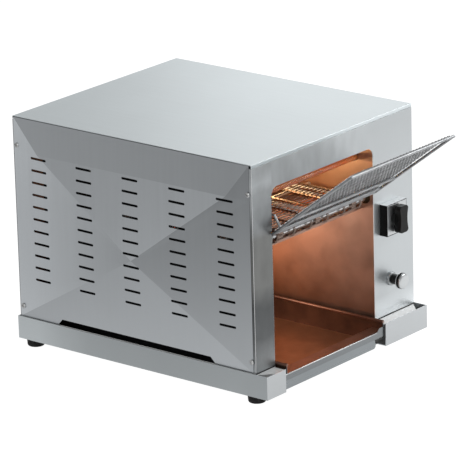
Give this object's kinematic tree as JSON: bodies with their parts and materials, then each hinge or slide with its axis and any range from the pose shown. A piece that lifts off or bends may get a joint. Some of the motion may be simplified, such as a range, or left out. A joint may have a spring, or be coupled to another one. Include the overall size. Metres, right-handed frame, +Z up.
{
  "type": "conveyor toaster",
  "caption": "Countertop conveyor toaster: sloping wire feed rack, motor-driven wire belt between quartz heaters, return chute and pull-out toast tray in a slotted sheet-steel casing.",
  "frame": {"origin": "on the counter, under the middle of the casing", "axes": "+X to the object's right as seen from its front, -Y out of the front opening, +Z up"},
  "size_m": [0.388, 0.6081, 0.3596],
  "materials": {
    "casing_steel": "fine brushed stainless",
    "base_steel": "brushed stainless, folded",
    "frame_steel": "plain mill finish",
    "cavity_steel": "heat-tinted stainless",
    "foot_rubber": "matt black",
    "fastener": "bright zinc",
    "quartz": "glowing quartz tube",
    "ceramic": "unglazed ceramic",
    "wire": "plated wire",
    "shaft_steel": "ground bar",
    "bush_bronze": "sintered bronze",
    "chain_steel": "oiled black",
    "motor_paint": "satin black",
    "black_plastic": "satin black",
    "bright_plate": "satin",
    "terminal_plastic": "white",
    "wire_sleeve": "silicone sleeve"
  },
  "bodies": {
    "casing": {"base_pan": "base_steel", "feet": "foot_rubber", "foot_screws": "fastener", "chassis_frame": "frame_steel", "left_inner_wall": "cavity_steel", "right_inner_wall": "cavity_steel", "cavity_roof": "frame_steel", "upper_reflector": "cavity_steel", "lower_reflector": "cavity_steel", "toast_chute": "cavity_steel", "upper_heaters": "quartz", "lower_heaters": "quartz", "heater_caps": "ceramic", "front_fascia": "casing_steel", "top_cover": "casing_steel", "left_side_panel": "casing_steel", "right_side_panel": "casing_steel", "rear_panel": "casing_steel", "panel_screws": "fastener", "belt_rails": "frame_steel", "conveyor_belt": "wire", "shaft_bushes": "bush_bronze", "tray_guides": "frame_steel", "rack_studs": "shaft_steel", "motor_bracket": "frame_steel", "gearmotor": "motor_paint", "drive_chain": "chain_steel", "terminal_block": "terminal_plastic", "cord_gland": "black_plastic", "wiring_loom": "wire_sleeve", "selector_switch": "black_plastic", "switch_housing": "black_plastic", "switch_plate": "bright_plate", "speed_control": "black_plastic", "speed_control_nut": "fastener"},
    "drive": {"drive_shaft": "shaft_steel", "drive_rollers": "wire", "drive_chainwheel": "chain_steel"},
    "idler": {"idler_shaft": "shaft_steel", "idler_rollers": "wire"},
    "motor_output": {"motor_shaft": "shaft_steel", "motor_pinion": "chain_steel"},
    "tray": {"toast_tray": "base_steel"},
    "rack": {"rack_frame": "wire", "rack_grid": "wire"},
    "selector": {"selector_knob": "black_plastic"},
    "speed": {"speed_knob": "black_plastic", "speed_knob_cap": "bright_plate"}
  },
  "joints": [
    {"name": "drive_spin", "type": "hinge", "parent": "casing", "child": "drive", "pos_m": [0, 0.125, 0.236], "axis": [-1, 0, 0], "continuous": true},
    {"name": "idler_spin", "type": "hinge", "parent": "casing", "child": "idler", "pos_m": [0, -0.208, 0.236], "axis": [-1, 0, 0], "continuous": true},
    {"name": "motor_spin", "type": "hinge", "parent": "casing", "child": "motor_output", "pos_m": [0.106, 0.125, 0.119], "axis": [-1, 0, 0], "continuous": true},
    {"name": "tray_slide", "type": "slide", "parent": "casing", "child": "tray", "axis": [0, -1, 0], "range_m": [0, 0.25]},
    {"name": "rack_lift", "type": "hinge", "parent": "casing", "child": "rack", "pos_m": [0, -0.212, 0.275], "axis": [-1, 0, 0], "range_deg": [0, 53]},
    {"name": "selector_turn", "type": "hinge", "parent": "casing", "child": "selector", "pos_m": [0.132, -0.24, 0.2], "axis": [0, -1, 0], "range_deg": [0, 135]},
    {"name": "speed_turn", "type": "hinge", "parent": "casing", "child": "speed", "pos_m": [0.132, -0.24, 0.1035], "axis": [0, -1, 0], "range_deg": [-135, 135]}
  ],
  "couplings": [
    {"joint": "idler_spin", "follows": "drive_spin", "ratio": 1},
    {"joint": "motor_spin", "follows": "drive_spin", "ratio": 1.3333}
  ]
}
